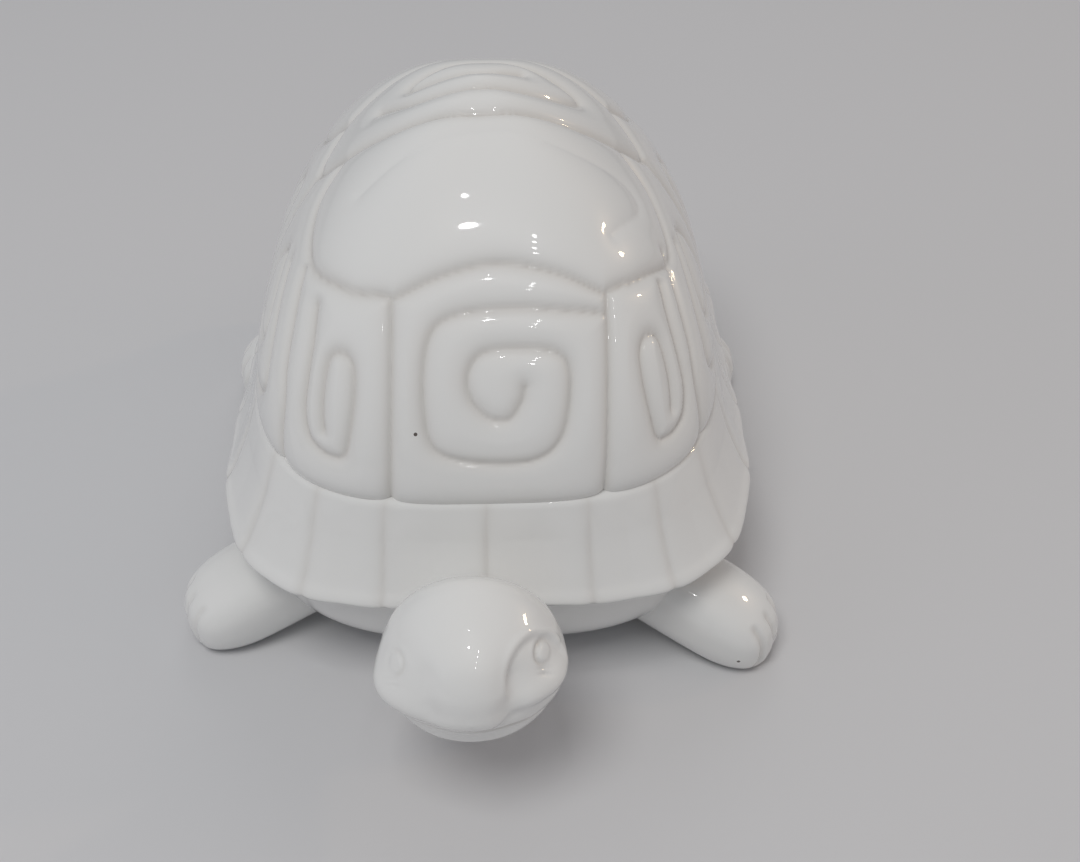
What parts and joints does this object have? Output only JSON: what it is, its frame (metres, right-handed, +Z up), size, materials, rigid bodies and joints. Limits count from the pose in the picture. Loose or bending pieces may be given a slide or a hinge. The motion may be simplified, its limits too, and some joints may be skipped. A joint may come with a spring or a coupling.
{
  "type": "turtle figurine",
  "caption": "Hollow glazed ceramic turtle with a domed shell carved with plates and spirals, a fluted skirt, a raised head and stub legs, made to stand on a shelf.",
  "frame": {"origin": "on the ground the turtle stands on, under the middle of its whole length and width", "axes": "+Z up, the head looks along -Y, +X across the shell to the turtle's left hand side seen from the front as the right"},
  "size_m": [0.1154, 0.1656, 0.093],
  "materials": {
    "white_glaze": "glossy clear glaze over a white earthenware body"
  },
  "bodies": {
    "root": {"carapace": "white_glaze", "marginal_skirt": "white_glaze", "plastron": "white_glaze", "head": "white_glaze", "front_left_leg": "white_glaze", "front_right_leg": "white_glaze", "rear_left_leg": "white_glaze", "rear_right_leg": "white_glaze", "tail": "white_glaze"}
  },
  "joints": []
}
